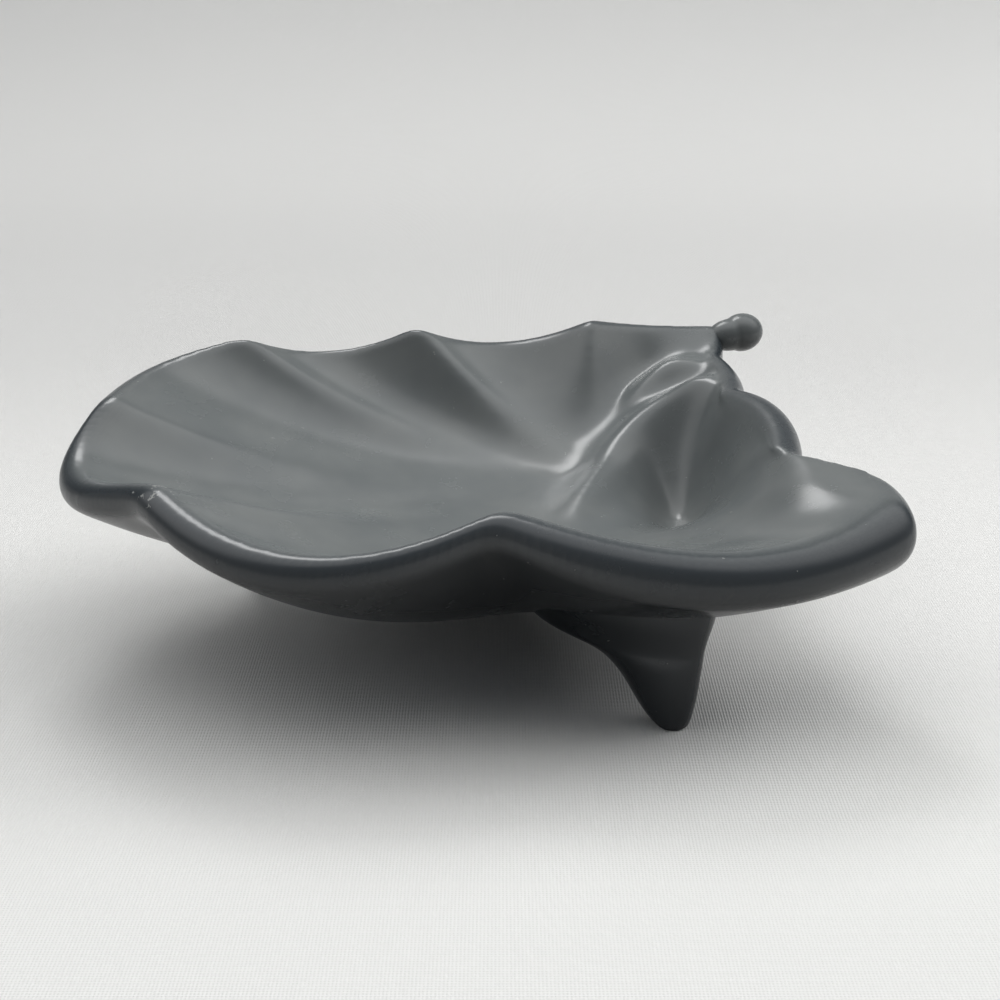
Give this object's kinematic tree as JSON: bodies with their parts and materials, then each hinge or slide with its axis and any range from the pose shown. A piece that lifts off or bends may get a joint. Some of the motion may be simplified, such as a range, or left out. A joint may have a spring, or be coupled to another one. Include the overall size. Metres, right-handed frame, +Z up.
{
  "type": "shell soap dish",
  "caption": "Open conch-shell soap dish with a fluted fan, stepped whorls, a blunt horn, a small apex knob and short tapered feet, in glossy glazed ceramic.",
  "frame": {"origin": "middle of the dish's plan outline, on the surface that its feet stand on", "axes": "+X along the long side from the fan towards the whorls and the horn, +Y from the front notch towards the back rim, +Z up"},
  "size_m": [0.1485, 0.1166, 0.0484],
  "materials": {
    "dish_glaze": "glossy slate-grey glaze",
    "knob_glaze": "glossy slate-grey glaze",
    "foot_glaze": "glossy slate-grey glaze"
  },
  "bodies": {
    "root": {"shell_dish": "dish_glaze", "apex_knob": "knob_glaze", "front_foot": "foot_glaze", "back_left_foot": "foot_glaze", "back_right_foot": "foot_glaze"}
  },
  "joints": []
}
